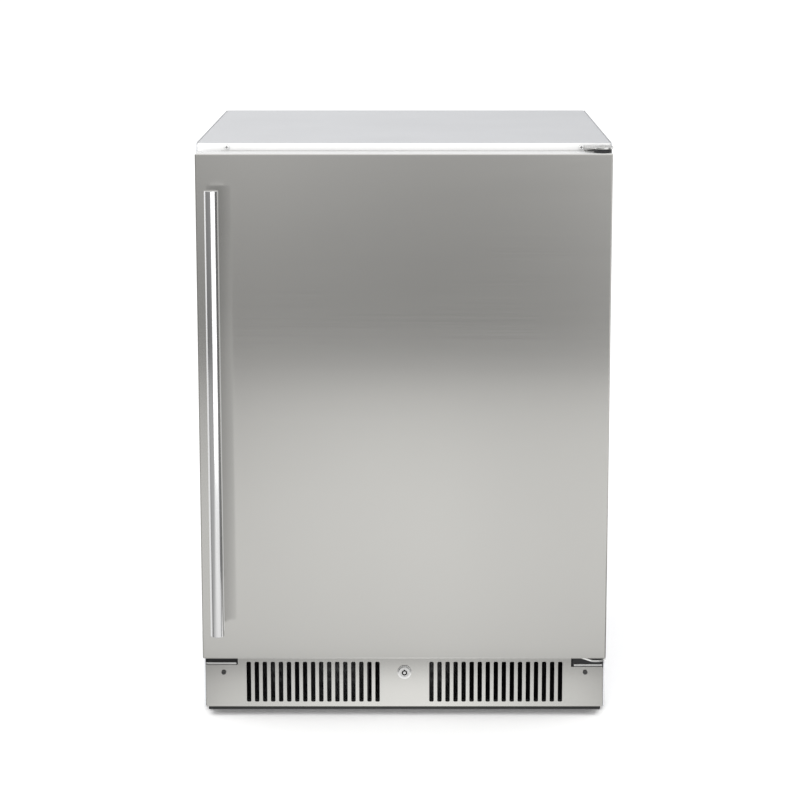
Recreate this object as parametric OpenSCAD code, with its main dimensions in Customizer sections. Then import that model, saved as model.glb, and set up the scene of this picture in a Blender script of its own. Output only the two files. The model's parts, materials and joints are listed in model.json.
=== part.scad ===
// Undercounter refrigerator: a single-door, front-breathing cabinet on levelling feet.
// Millimetres, +Z up, origin on the floor under the middle of the overall box.
// The front faces -Y and the door is hinged on the +X side.

/* [Cabinet] */
// Width over the side panels
cabinet_w = 597; // [590:1:610]
// Depth from the front frame to the back panel
cabinet_d = 565; // [555:1:585]
// Height from the floor to the top panel
total_h = 850; // [848:1:870]
// Gap between the floor and the kick panel
foot_gap = 6; // [6:1:10]
// Thickness of the side, top and back sheets
sheet_t = 1; // [0.8:0.1:1.2]
// Wall thickness at the sides, from outer sheet to liner
side_wall = 43.5; // [40:0.5:46]
// Thickness of the moulded liner
liner_t = 2; // [1.5:0.1:2.5]

/* [Door] */
// Door width
door_w = 592; // [588:1:594]
// Door height
door_h = 743; // [735:1:745]
// Depth of the folded door skin
door_t = 40; // [38:1:44]
// Gap between the door's back and the cabinet, filled by the gasket
gasket_gap = 10; // [9:1:12]
// Height of the top lip that shows above the door
top_reveal = 10.5; // [9:0.5:12]
// How far the door opens, in degrees; used by the clearances only
door_swing = 115; // [90:1:120]

/* [Handle] */
// Diameter of the handle bar
handle_d = 20; // [18:1:24]
// Length of the handle bar
handle_l = 648; // [500:2:660]
// Distance from the door face to the middle of the bar
handle_standoff = 40; // [36:1:50]
// Distance from the door's free edge to the middle of the bar
handle_inset = 26; // [20:1:40]
// Diameter of the two handle posts
post_d = 14; // [10:1:16]
// Spacing of the handle posts
post_spacing = 500; // [400:5:520]

/* [Kick panel] */
// Height of the kick panel
kick_h = 86; // [84:1:88]
// Number of air slots in each group
slots = 17; // [9:1:18]
// Distance between neighbouring slots
slot_pitch = 12; // [10:0.5:12]
// Width of one slot
slot_w = 6.6; // [5:0.2:7]
// Length of one slot
slot_h = 62; // [40:0.5:62]
// Distance from the panel's middle to the first slot's centre
slot_start = 40.3; // [36:0.1:44]
// Height of the lock and the panel screws above the floor
lock_z = 59.6; // [58:0.2:61]

/* [Hinges] */
// Diameter of the hinge pins
pin_d = 8; // [6:0.5:10]
// Distance from the door's edge to the hinge axis
hinge_inset = 13; // [12:0.5:15]
// Distance from the door face back to the hinge axis
hinge_depth = 20; // [18:0.5:21]
// Width of a hinge plate
hinge_w = 39; // [36:1:42]

/* [Interior] */
// Number of wires in a shelf
shelf_wires = 26; // [12:1:30]
// Height of the lowest shelf above the floor
shelf_z0 = 348; // [344:1:352]
// Distance between the shelves
shelf_step = 152; // [140:1:154]
// Height of a door bin
bin_h = 84; // [70:1:90]

/* [Cooling] */
// Height of the machine bay's ceiling
bay_h = 290; // [285:1:300]
// Depth of the machine bay
bay_d = 200; // [195:1:205]
// Diameter of the compressor shell
compressor_d = 146; // [130:1:150]
// Number of fins on the condenser
condenser_fins_n = 22; // [10:1:24]
// Diameter of the condenser fan
fan_d = 148; // [120:1:150]
// Travel of the front levelling feet
foot_travel = 20; // [10:1:20]

/* [Hidden] */
$fn = 48;
eps = 0.5; // how far a cutter runs past the face it opens
clear = 0.3; // gap between parts of different bodies that stand face to face

// ---- derived places ----
half_w = cabinet_w / 2;
overall_d = cabinet_d + gasket_gap + door_t + handle_standoff + handle_d / 2;
back_y = overall_d / 2; // rear face of the back panel
front_y = back_y - cabinet_d; // front face of the cabinet
door_back_y = front_y - gasket_gap;
door_face_y = door_back_y - door_t;
handle_y = door_face_y - handle_standoff;
handle_x = -door_w / 2 + handle_inset;

door_top = total_h - top_reveal;
door_bottom = door_top - door_h;
door_mid = (door_top + door_bottom) / 2;
handle_mid = door_mid;
kick_top = foot_gap + kick_h;
floor_plate_z = kick_top + 2; // top of the steel underside

hem_t = 2 * sheet_t; // folded front edge of a side panel
inner_w = half_w - hem_t - 0.2; // half width between the side panels' hems
liner_x = half_w - side_wall - 2 * sheet_t; // inside of the liner's side wall
liner_floor = floor_plate_z + 38;
liner_top = total_h - 43;
frame_t = 1.2;
liner_front = front_y + frame_t;
liner_back = back_y - 45;
bay_front = back_y - bay_d; // front wall of the machine bay
hump_y = bay_front - 41; // inside face of the liner's hump
hump_z = bay_h + 41; // top of the liner's hump

hinge_x = door_w / 2 - hinge_inset;
hinge_y = door_face_y + hinge_depth;
hinge_plate_t = 3;
top_plate_z = total_h - 5; // underside of the top hinge plate
bottom_plate_z = door_bottom - 4; // top of the bottom hinge plate
notch_w = 50; // corner notches of the kick panel
notch_z = foot_gap + 61.8; // bottom edge of the hinge's notch
blank_z = foot_gap + 65; // bottom edge of the spare notch
bracket_z = lock_z + 23.6; // height of the hinge bracket's screws
lip_screw_x = half_w - 44.5;
lip_screw_z = total_h - 5.8;
kick_screw_x = half_w - 29;

gasket_out_x = hinge_x - 1;
gasket_w = 20;
gasket_low = door_bottom + 14;
gasket_high = door_top - 14;

dyke_x = 232; // outer face of the door liner's side ribs
dyke_w = 20;
dyke_y = front_y + 80; // how far the ribs reach into the cabinet
plateau_y = front_y + 5; // inner face of the door liner
bin_y0 = plateau_y + 0.6;
bin_y1 = dyke_y - 3;
bin_x = dyke_x - dyke_w - 6;
peg_z = [190, 400, 610]; // heights of the pegs that carry the bins

shelf_y0 = dyke_y + 14;
cover_y = liner_back - 45; // front face of the evaporator cover
shelf_y1 = cover_y - 8;
shelf_x = liner_x - 5;
fan_y = bay_front + bay_d / 2;
fan_z = 142;
fan_x = -40; // middle of the condenser fan
compressor_x = 150;
compressor_z = 35;
evap_fan_z = 640;
coil_z = 400; // bottom of the evaporator coil
pipe_x = 185; // where the suction line rises into the cabinet
pipe_y = liner_back - 12;
control_y = dyke_y + 27; // front face of the control housing
knob_x = 55;
knob_z = liner_top - 20;
foot_x = half_w - 32;
foot_y = front_y + 50;
rear_foot_y = back_y - 45;
rail_z = foot_gap + 1; // underside of the base rails
rail_x = half_w - hem_t - 0.4; // outer side of the base rails
strike_w = 24; // half width of the lock strike
strike_z = lock_z + 29; // underside of the strike's tongue
cam_y = front_y + 26; // front face of the lock cam
cam_l = 31.5;
cover_y1 = back_y - 2.4; // outer face of the rear cover
cover_screw_x = [-half_w + 12, half_w - 12];
cover_screw_z = [60, bay_h - 24];
inlet_x = half_w - 84; // side of the power inlet

// ---- helpers ----
// A box between two opposite corners.
module box(low, high) translate(low) cube(high - low);

// Round bars along each axis.
module bar_x(x0, x1, y, z, r) translate([x0, y, z]) rotate([0, 90, 0]) cylinder(r = r, h = x1 - x0);
module bar_y(y0, y1, x, z, r) translate([x, y0, z]) rotate([-90, 0, 0]) cylinder(r = r, h = y1 - y0);
module bar_z(z0, z1, x, y, r) translate([x, y, z0]) cylinder(r = r, h = z1 - z0);

// An outline in Y and Z, run along X.
module along_x(x0, x1, outline) translate([x0, 0, 0]) rotate([90, 0, 90])
    linear_extrude(height = x1 - x0) polygon(outline);

// A picture frame that stands in the XZ plane.
module frame_ring(y0, y1, out_x, out_z0, out_z1, width) difference() {
    box([-out_x, y0, out_z0], [out_x, y1, out_z1]);
    box([-out_x + width, y0 - eps, out_z0 + width], [out_x - width, y1 + eps, out_z1 - width]);
}

// Both sides of the X = 0 plane.
module both_sides() { children(); mirror([1, 0, 0]) children(); }

// A pan-head screw along +Y whose head's underside is at y; the recess is a cross.
module screw(x, y, z, shank = 8) difference() {
    union() {
        bar_y(y - 2.2, y, x, z, 3.6);
        bar_y(y - eps, y + shank, x, z, 1.9);
    }
    for (turn = [0, 90]) translate([x, y - 2.2, z]) rotate([0, turn, 0])
        cube([4.4, 2.4, 1], center = true);
}

// A bent pipe through the given points, with each corner rounded to the given bend radius.
function unit(v) = v / norm(v);
function corner_points(a, b, c, bend) =
    let (u = unit(a - b), w = unit(c - b), half = acos(u * w) / 2,
         centre = b + unit(u + w) * bend / sin(half), p = b + u * bend / tan(half) - centre,
         span = 180 - 2 * half)
    [for (i = [0 : 6]) centre + p * cos(span * i / 6) - u * bend * sin(span * i / 6)];
function route(points, bend) = [
    points[0],
    for (i = [1 : len(points) - 2]) each corner_points(points[i - 1], points[i], points[i + 1], bend),
    points[len(points) - 1]
];
// Frames carried along the line without twist.
function headings(line) = [for (i = [0 : len(line) - 1])
    unit(line[min(i + 1, len(line) - 1)] - line[max(i - 1, 0)])];
function carried(normal, heading) = unit(normal - heading * (normal * heading));
function normals(dirs, i = 0, n = undef) =
    let (start = abs(dirs[0].x) < 0.8 ? [1, 0, 0] : [0, 1, 0],
         now = carried(n == undef ? start : n, dirs[i]))
    i == len(dirs) - 1 ? [now] : concat([now], normals(dirs, i + 1, now));
module pipe(points, r, bend = 14, sides = 10) {
    line = route(points, bend);
    dirs = headings(line);
    across = normals(dirs);
    rings = [for (i = [0 : len(line) - 1]) for (k = [0 : sides - 1])
        line[i] + r * (across[i] * cos(360 * k / sides) + cross(dirs[i], across[i]) * sin(360 * k / sides))];
    last = (len(line) - 1) * sides;
    polyhedron(rings, concat(
        [[for (k = [0 : sides - 1]) k]],
        [for (i = [0 : len(line) - 2]) for (k = [0 : sides - 1])
            [i * sides + k, (i + 1) * sides + k, (i + 1) * sides + (k + 1) % sides, i * sides + (k + 1) % sides]],
        [[for (k = [sides - 1 : -1 : 0]) last + k]]
    ));
}

// ---- cabinet shell ----
module side_panel() color("silver") {
    box([half_w - sheet_t, front_y, foot_gap], [half_w, back_y, total_h]);
    box([half_w - hem_t, front_y, foot_gap], [half_w - sheet_t, front_y + 12, total_h]);
    box([half_w - 18, front_y + 20, total_h - 2 * sheet_t - 0.2], [half_w - sheet_t, back_y - 2, total_h - sheet_t - 0.2]);
}
module left_side_panel() mirror([1, 0, 0]) side_panel();
module right_side_panel() side_panel();

module top_panel() color("gainsboro") difference() {
    union() {
        box([-inner_w, front_y, total_h - sheet_t], [inner_w, back_y, total_h]);
        box([-inner_w, front_y, total_h - top_reveal - 0.5], [inner_w, front_y + sheet_t, total_h]);
        box([-inner_w, back_y - sheet_t, total_h - 14], [inner_w, back_y, total_h]);
    }
    for (x = [-lip_screw_x, lip_screw_x]) bar_y(front_y - eps, front_y + 2, x, lip_screw_z, 2.1);
}

module back_panel() color("lightgray") difference() {
    box([-half_w + sheet_t, back_y - sheet_t, bay_h], [half_w - sheet_t, back_y, total_h - 14.2]);
    for (z = [bay_h + 160, bay_h + 320]) box([-220, back_y - 0.4, z], [220, back_y + eps, z + 6]);
}

module front_frame() color("silver") difference() {
    union() {
        box([-inner_w, front_y, kick_top + 2], [inner_w, liner_front, total_h - top_reveal - 0.7]);
        box([-inner_w, front_y, kick_top + 2], [inner_w, front_y + 14, kick_top + 3.2]);
    }
    box([-liner_x, front_y - eps, liner_floor], [liner_x, front_y + 3, liner_top]);
    for (x = [-hinge_x - 6, -hinge_x + 9, hinge_x - 9, hinge_x + 6])
        bar_y(front_y - eps, front_y + 3, x, door_top - 6.5, 2.1);
}

// The stepped outline of the food compartment, grown outwards by t.
function cavity(t) = [
    [liner_front, liner_floor - t], [hump_y + t, liner_floor - t], [hump_y + t, hump_z - t],
    [liner_back + t, hump_z - t], [liner_back + t, liner_top + t], [liner_front, liner_top + t]
];
// An outline run out of the mouth so that it cuts cleanly.
function run_out(outline) = [for (p = outline) p.x == liner_front ? [p.x - eps, p.y] : p];

// Ways through the hump for the suction line with its capillary, and for the drain.
module pipe_holes() {
    bar_z(bay_h - 2, hump_z + eps, pipe_x, pipe_y, 9);
    bar_z(bay_h - 2, hump_z + eps, compressor_x - 10, pipe_y, 6.6);
}

module cabinet_foam() color("khaki") difference() {
    along_x(-half_w + hem_t + 0.2, half_w - hem_t - 0.2, [
        [liner_front, floor_plate_z + 1.4], [front_y + 14.4, floor_plate_z + 1.4],
        [front_y + 14.4, floor_plate_z], [bay_front - 1.2, floor_plate_z], [bay_front - 1.2, bay_h + 1.2],
        [back_y - 1.2, bay_h + 1.2], [back_y - 1.2, total_h - 2.4], [liner_front, total_h - 2.4]
    ]);
    along_x(-liner_x - liner_t, liner_x + liner_t, run_out(cavity(liner_t)));
    pipe_holes();
    // Clearance round the tips of the hinge screws and the lip screws
    both_sides() for (x = [hinge_x - 9, hinge_x + 6]) bar_y(front_y, front_y + 12, x, door_top - 6.5, 2.2);
    both_sides() bar_y(front_y, front_y + 9, lip_screw_x, lip_screw_z, 2.2);
}

module shelf_ledge(z) both_sides()
    box([liner_x - 9, shelf_y0 + 4, z - 11], [liner_x + 1, shelf_y1 - 4, z - 3]);

module inner_liner() color("whitesmoke") difference() {
    union() {
        difference() {
            along_x(-liner_x - liner_t, liner_x + liner_t, cavity(liner_t));
            along_x(-liner_x, liner_x, run_out(cavity(0)));
        }
        for (i = [0 : 2]) shelf_ledge(shelf_z0 + i * shelf_step);
    }
    pipe_holes();
}

module bay_panel() color("lightsteelblue") difference() {
    along_x(-half_w + hem_t + 0.2, half_w - hem_t - 0.2, [
        [liner_front + 14, floor_plate_z - 1], [bay_front, floor_plate_z - 1], [bay_front, bay_h],
        [back_y - 1.2, bay_h], [back_y - 1.2, bay_h + 1], [bay_front - 1, bay_h + 1],
        [bay_front - 1, floor_plate_z], [liner_front + 14, floor_plate_z]
    ]);
    pipe_holes();
}

// ---- base ----
module base_rail() difference() {
    union() {
        box([half_w - 56, front_y + 6, rail_z], [rail_x, back_y - 6, rail_z + 2]);
        box([rail_x - 2, front_y + 6, rail_z], [rail_x, back_y - 6, kick_top - 2]);
        box([half_w - 56, front_y + 6, rail_z], [half_w - 54, back_y - 6, rail_z + 24]);
        bar_z(rail_z + 1, rail_z + 14, foot_x, foot_y, 11);
        bar_z(rail_z + 1, rail_z + 14, foot_x, rear_foot_y, 11);
    }
    bar_z(rail_z - eps, rail_z + 16, foot_x, foot_y, 5.08);
    bar_z(rail_z - eps, rail_z + 16, foot_x, rear_foot_y, 5.08);
}

module base_frame() color("dimgray") difference() {
    union() {
        both_sides() base_rail();
        // Front corner gussets that carry the hinge plate and the kick panel
        both_sides() box([half_w - 56, front_y + 6, rail_z], [rail_x, front_y + 8, kick_top - 2]);
        // Toe strip under the kick panel, just above the floor
        box([-half_w + 6, front_y + 0.8, 1.8], [half_w - 6, front_y + 8, foot_gap - 0.3]);
        box([-half_w + 6, front_y + 6, 1.8], [half_w - 6, front_y + 8, rail_z + 4]);
        // Front cross bar, kept low so that the air and the lock strike pass over it
        box([-half_w + 56, front_y + 6, rail_z], [half_w - 56, front_y + 8, rail_z + 8]);
        box([-half_w + 56, front_y + 6, rail_z], [half_w - 56, front_y + 40, rail_z + 2]);
        // Pan that closes the air duct at the bottom
        box([-half_w + 56, front_y + 38, rail_z], [half_w - 56, bay_front + 8, rail_z + 1.2]);
        // Machine plate under the compressor and the condenser
        box([-half_w + 56, bay_front + 6, rail_z], [half_w - 56, back_y - 6, rail_z + 2]);
        box([-half_w + 56, back_y - 8, rail_z], [half_w - 56, back_y - 6, rail_z + 18]);
        // Posts at the bay's corners that carry the cabinet
        both_sides() box([half_w - 20, back_y - 8, rail_z], [rail_x, back_y - 6, bay_h - 0.4]);
        both_sides() box([half_w - 20, bay_front + 2, rail_z], [rail_x, bay_front + 4, bay_h - 0.4]);
    }
    for (x = [-kick_screw_x, kick_screw_x]) bar_y(front_y, front_y + 12, x, lock_z, 2.1);
    for (x = [hinge_x - 14, hinge_x + 4]) bar_y(front_y, front_y + 12, x, bracket_z, 2.1);
    for (x = cover_screw_x, z = cover_screw_z) bar_y(back_y - 10, back_y, x, z, 2.1);
    for (dx = [-1, 1], dy = [-1, 1])
        bar_z(rail_z - eps, rail_z + 4, compressor_x + dx * 62, fan_y + dy * 62, 3.2);
}

// An air slot with rounded corners.
module slot(x) {
    r = 2;
    z0 = foot_gap + 7.7;
    z1 = z0 + slot_h;
    box([x - slot_w / 2, front_y - eps, z0 + r], [x + slot_w / 2, front_y + 3, z1 - r]);
    box([x - slot_w / 2 + r, front_y - eps, z0], [x + slot_w / 2 - r, front_y + 3, z1]);
    for (dx = [-1, 1], z = [z0 + r, z1 - r]) bar_y(front_y - eps, front_y + 3, x + dx * (slot_w / 2 - r), z, r);
}

module kick_grille() color("lightgray") difference() {
    union() {
        box([-inner_w, front_y, foot_gap], [inner_w, liner_front, kick_top]);
        box([-inner_w, front_y, foot_gap], [inner_w, front_y + 5, foot_gap + 1]);
        box([-inner_w + notch_w, front_y, kick_top - 1.2], [inner_w - notch_w, front_y + 14, kick_top]);
    }
    both_sides() for (i = [0 : slots - 1]) slot(slot_start + i * slot_pitch);
    // Corner notches for the bottom hinge, on the side in use and on the spare side
    box([half_w - notch_w, front_y - eps, notch_z], [half_w + eps, front_y + 16, kick_top + eps]);
    box([-half_w - eps, front_y - eps, blank_z], [-half_w + notch_w, front_y + 16, kick_top + eps]);
    // Way through for the lock strike
    box([-strike_w - 12, front_y - eps, strike_z - 6], [strike_w + 6, front_y + 16, kick_top + eps]);
    bar_y(front_y - eps, front_y + 3, 0, lock_z, 8.2);
    for (x = [-kick_screw_x, kick_screw_x]) bar_y(front_y - eps, front_y + 3, x, lock_z, 2.1);
}

// Identical pan-head screws: top lip, kick panel, rear cover
module cabinet_screws() color("dimgray") {
    for (x = [-lip_screw_x, lip_screw_x]) screw(x, front_y, lip_screw_z, shank = 7);
    for (x = [-kick_screw_x, kick_screw_x]) screw(x, front_y, lock_z, shank = 11);
    for (x = cover_screw_x, z = cover_screw_z) mirror([0, 1, 0]) screw(x, -cover_y1, z, shank = 7);
}

// Covers over the spare hinge holes on the free side
module left_hinge_blanks() color("silver") {
    box([-half_w + hem_t + 0.3, front_y - 0.8, total_h - 22], [-half_w + hem_t + 34, front_y, total_h - 3]);
    // Empty bracket behind the kick panel, with its flange in the notch
    difference() {
        union() {
            box([-half_w + hem_t + 3, liner_front + 0.2, lock_z - 8], [-half_w + 48, front_y + 5.8, blank_z + 4.3]);
            box([-half_w + hem_t + 1, front_y - 1.5, blank_z + 1.3], [-half_w + 48, front_y + 5.8, blank_z + 4.3]);
        }
        bar_y(front_y, front_y + 8, -kick_screw_x, lock_z, 2.1);
    }
}

// ---- hinges ----
// Plan of a hinge plate: a rectangle at the cabinet that narrows to a round nose at the pin.
module hinge_plan(back) {
    polygon([
        [half_w - 1.5 - hinge_w, back], [half_w - 1.5, back], [half_w - 1.5, hinge_y - 4],
        [hinge_x + 14.5 * cos(-20), hinge_y + 14.5 * sin(-20)], [hinge_x, hinge_y],
        [hinge_x + 14.5 * cos(215), hinge_y + 14.5 * sin(215)], [half_w - 1.5 - hinge_w, hinge_y + 6]
    ]);
    translate([hinge_x, hinge_y]) circle(r = 14.5);
}

module top_hinge_plate() color("lightgray") difference() {
    union() {
        translate([0, 0, top_plate_z]) linear_extrude(height = hinge_plate_t) hinge_plan(front_y);
        box([half_w - 1.5 - hinge_w, front_y - 3, door_top - 12.5], [half_w - 1.5, front_y, top_plate_z + 1]);
    }
    bar_z(top_plate_z - 1, top_plate_z + hinge_plate_t + 1, hinge_x, hinge_y, pin_d / 2 + 0.02);
    for (x = [hinge_x - 9, hinge_x + 6]) bar_y(front_y - 4, front_y + 1, x, door_top - 6.5, 2.1);
}

module bottom_hinge_plate() color("lightgray") difference() {
    union() {
        translate([0, 0, bottom_plate_z - hinge_plate_t]) linear_extrude(height = hinge_plate_t)
            hinge_plan(front_y - 0.4);
        box([half_w - 1.5 - hinge_w, front_y - 1, bottom_plate_z - hinge_plate_t],
            [half_w - 3.5, front_y + 5.8, bottom_plate_z]);
        box([half_w - 48, liner_front + 0.2, lock_z - 8], [half_w - 3.5, front_y + 5.8, bottom_plate_z]);
        // Short lower leg that stiffens the bracket
        box([half_w - 46, front_y - 1.5, notch_z + 1.5], [half_w - 3.5, front_y + 5.8, notch_z + 4.5]);
    }
    bar_z(bottom_plate_z - 5, bottom_plate_z + 1, hinge_x, hinge_y, pin_d / 2 + 0.02);
    for (x = [hinge_x - 14, hinge_x + 4]) bar_y(front_y, front_y + 8, x, bracket_z, 2.1);
    bar_y(front_y, front_y + 8, kick_screw_x, lock_z, 2.1);
}

module hinge_pins() color("gray") {
    bar_z(door_top - 18, top_plate_z + hinge_plate_t, hinge_x, hinge_y, pin_d / 2);
    bar_z(top_plate_z + hinge_plate_t, top_plate_z + hinge_plate_t + 1.5, hinge_x, hinge_y, 6);
    bar_z(bottom_plate_z - hinge_plate_t, door_bottom + 18, hinge_x, hinge_y, pin_d / 2);
    bar_z(bottom_plate_z - hinge_plate_t - 1.5, bottom_plate_z - hinge_plate_t, hinge_x, hinge_y, 6);
}

module hinge_screws() color("gray") {
    for (x = [hinge_x - 9, hinge_x + 6]) screw(x, front_y - 3, door_top - 6.5, shank = 10);
    for (x = [hinge_x - 14, hinge_x + 4]) screw(x, liner_front + 0.2, bracket_z, shank = 9);
}

// ---- lock ----
module lock_housing() color("silver") difference() {
    union() {
        bar_y(front_y - 1.5, front_y, 0, lock_z, 10.4);
        bar_y(front_y - 4, front_y - 1.5, 0, lock_z, 9);
        bar_y(front_y, cam_y - 1, 0, lock_z, 8);
    }
    bar_y(front_y - 5, cam_y, 0, lock_z, 5.56);
}

module lock_nut() color("gray") difference() {
    translate([0, liner_front + 0.1, lock_z]) rotate([-90, 0, 0]) cylinder(r = 13, h = 5, $fn = 6);
    bar_y(front_y, front_y + 8, 0, lock_z, 8.05);
}

// The turning plug with its ring-shaped keyway, and the cam riveted to its tail
module lock_plug() color("darkgray") {
    difference() {
        bar_y(front_y - 3.6, cam_y + 4, 0, lock_z, 5.5);
        difference() {
            bar_y(front_y - 5, front_y + 4, 0, lock_z, 4.1);
            bar_y(front_y - 6, front_y + 5, 0, lock_z, 2.2);
        }
        bar_y(front_y - 5, front_y + 2, 0, lock_z + 4.2, 0.7);
    }
    difference() {
        union() {
            box([-cam_l + 6, cam_y, lock_z - 6], [0, cam_y + 2.5, lock_z + 6]);
            bar_y(cam_y, cam_y + 2.5, -cam_l + 6, lock_z, 6);
            bar_y(cam_y, cam_y + 2.5, 0, lock_z, 8.5);
        }
        bar_y(cam_y - 1, cam_y + 3, 0, lock_z, 5.55);
    }
    bar_y(cam_y + 4, cam_y + 6, 0, lock_z, 7);
}

// Bracket under the door whose slotted tongue the cam rises into
module lock_strike() color("gray") difference() {
    union() {
        box([-strike_w, door_face_y + 14, door_bottom - 1.6], [strike_w, door_back_y - 1, door_bottom]);
        box([-strike_w, door_back_y - 2.6, strike_z], [strike_w, door_back_y - 1, door_bottom]);
        box([-strike_w, door_back_y - 2.6, strike_z], [strike_w, cam_y + 10, strike_z + 1.6]);
    }
    box([-19, cam_y - 2.2, strike_z - 1], [9, cam_y + 5, strike_z + 3]);
    for (x = [-14, 14]) bar_z(door_bottom - 3, door_bottom + 1, x, door_face_y + 24, 2.1);
}

// ---- machine bay ----
module rear_cover() color("gray") difference() {
    union() {
        box([-half_w + 3, cover_y1 - 1.2, 16], [half_w - 3, cover_y1, bay_h - 1]);
        box([-half_w + 22, cover_y1 - 10, bay_h - 2.2], [half_w - 22, cover_y1 - 1.2, bay_h - 1]);
    }
    for (z = [44 : 18 : bay_h - 40], x = [-240 : 80 : 160]) if (x < 160 || z < 80 || z > 122)
        box([x + 8, cover_y1 - 3, z], [x + 72, cover_y1 + eps, z + 6]);
    for (x = cover_screw_x, z = cover_screw_z) bar_y(cover_y1 - 3, cover_y1 + eps, x, z, 2.1);
    box([inlet_x - 1, cover_y1 - 3, 92], [inlet_x + 29, cover_y1 + eps, 118]);
}

module compressor() color("black") difference() {
    union() {
        translate([compressor_x, fan_y, compressor_z]) rotate_extrude() polygon(concat(
            [[0, 0]],
            [for (a = [-90 : 15 : 0]) [compressor_d / 2 - 22 + 22 * cos(a), 22 + 22 * sin(a)]],
            [[compressor_d / 2, 70], [compressor_d / 2 + 3, 70], [compressor_d / 2 + 3, 76], [compressor_d / 2, 76]],
            [for (a = [0 : 10 : 90]) [compressor_d / 2 - 46 + 46 * cos(a), 94 + 46 * sin(a)]],
            [[0, 140]]
        ));
        // Foot plate on the grommets
        box([compressor_x - 74, fan_y - 74, compressor_z - 6], [compressor_x + 74, fan_y + 74, compressor_z - 3]);
        bar_z(compressor_z - 4, compressor_z + 8, compressor_x, fan_y, 52);
        // Discharge, suction and process stubs
        bar_x(compressor_x - 96, compressor_x, fan_y - 20, compressor_z + 96, 3.2);
        bar_y(fan_y, fan_y + 84, compressor_x + 30, compressor_z + 90, 5);
        bar_x(compressor_x, compressor_x + 92, fan_y + 20, compressor_z + 60, 3.2);
    }
    for (dx = [-1, 1], dy = [-1, 1])
        bar_z(compressor_z - 8, compressor_z, compressor_x + dx * 62, fan_y + dy * 62, 5.2);
}

module compressor_grommets() color("black") for (dx = [-1, 1], dy = [-1, 1])
    translate([compressor_x + dx * 62, fan_y + dy * 62, 0]) difference() {
        union() {
            bar_z(rail_z + 2, compressor_z - 6, 0, 0, 10);
            bar_z(compressor_z - 7, compressor_z - 2, 0, 0, 5);
            bar_z(compressor_z - 3, compressor_z, 0, 0, 8);
        }
        bar_z(rail_z, compressor_z + 1, 0, 0, 3.3);
    }

module compressor_bolts() color("silver") for (dx = [-1, 1], dy = [-1, 1])
    translate([compressor_x + dx * 62, fan_y + dy * 62, 0]) {
        bar_z(rail_z - 0.8, compressor_z + 4, 0, 0, 3);
        translate([0, 0, compressor_z]) cylinder(r = 6, h = 5, $fn = 6);
    }

module start_relay_box() color("black") {
    box([compressor_x - 24, fan_y - compressor_d / 2 - 22, compressor_z + 26],
        [compressor_x + 24, fan_y - compressor_d / 2 - 4, compressor_z + 68]);
    box([compressor_x - 14, fan_y - compressor_d / 2 - 6, compressor_z + 34],
        [compressor_x + 14, fan_y - compressor_d / 2 - 0.3, compressor_z + 60]);
}

coil_x = [-190, -160]; // the condenser's two rows of tubes
coil_rows = 7;
coil_row_z = 30;
coil_z0 = 50;
coil_y0 = bay_front + 24;
coil_y1 = back_y - 30;

// Serpentine of the condenser: straight runs along Y joined by half-turn bends. Each column
// starts at the front of its top row, and the two meet at the back of the lowest row.
module condenser_tubes() color("peru") {
    for (x = coil_x, i = [0 : coil_rows - 1]) bar_y(coil_y0, coil_y1, x, coil_z0 + i * coil_row_z, 4);
    for (x = coil_x, i = [0 : coil_rows - 2]) translate([x, 0, coil_z0 + (i + 0.5) * coil_row_z])
        if (i % 2 == 0) translate([0, coil_y0, 0]) rotate([0, 90, 180]) half_bend(coil_row_z / 2, 4);
        else translate([0, coil_y1, 0]) rotate([0, 90, 0]) half_bend(coil_row_z / 2, 4);
    translate([(coil_x[0] + coil_x[1]) / 2, coil_y1, coil_z0]) half_bend((coil_x[1] - coil_x[0]) / 2, 4);
}

// Half of a ring in the XY plane, on its +Y side
module half_bend(bend, r) rotate_extrude(angle = 180) translate([bend, 0]) circle(r = r);

module condenser_fins() color("silver") for (i = [0 : condenser_fins_n - 1]) {
    y = coil_y0 + 6 + i * (coil_y1 - coil_y0 - 12) / (condenser_fins_n - 1);
    difference() {
        box([coil_x[0] - 16, y - 0.3, coil_z0 - 16],
            [coil_x[1] + 16, y + 0.3, coil_z0 + (coil_rows - 1) * coil_row_z + 16]);
        for (x = coil_x, k = [0 : coil_rows - 1]) bar_y(y - 1, y + 1, x, coil_z0 + k * coil_row_z, 4.06);
    }
}

shroud_x = fan_x - 14;
module condenser_fan_shroud() color("black") difference() {
    union() {
        box([shroud_x - 2, bay_front + 1, rail_z + 2.4], [shroud_x, back_y - 10, bay_h - 4]);
        bar_x(shroud_x - 2, shroud_x + 26, fan_y, fan_z, fan_d / 2 + 6);
    }
    bar_x(shroud_x - 3, shroud_x + 27, fan_y, fan_z, fan_d / 2 + 3);
    bar_x(shroud_x - 3, shroud_x + 1, bay_front + 26, bay_h - 30, 5);
    bar_x(shroud_x - 3, shroud_x + 1, drier_y, coil_z0 - 12, 4);
}

// Shaded-pole motor on a three-arm spider
module condenser_fan_motor() color("dimgray") {
    difference() {
        union() {
            bar_x(fan_x + 22, fan_x + 62, fan_y, fan_z, 24);
            for (a = [0, 120, 240]) translate([fan_x + 28, fan_y, fan_z]) rotate([a, 0, 0]) {
                box([-1.5, -5, 20], [1.5, 5, fan_d / 2 + 8]);
                box([-28, -6, fan_d / 2 + 6.4], [1.5, 6, fan_d / 2 + 8]);
            }
        }
        bar_x(fan_x + 20, fan_x + 40, fan_y, fan_z, 3.06);
    }
}

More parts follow.
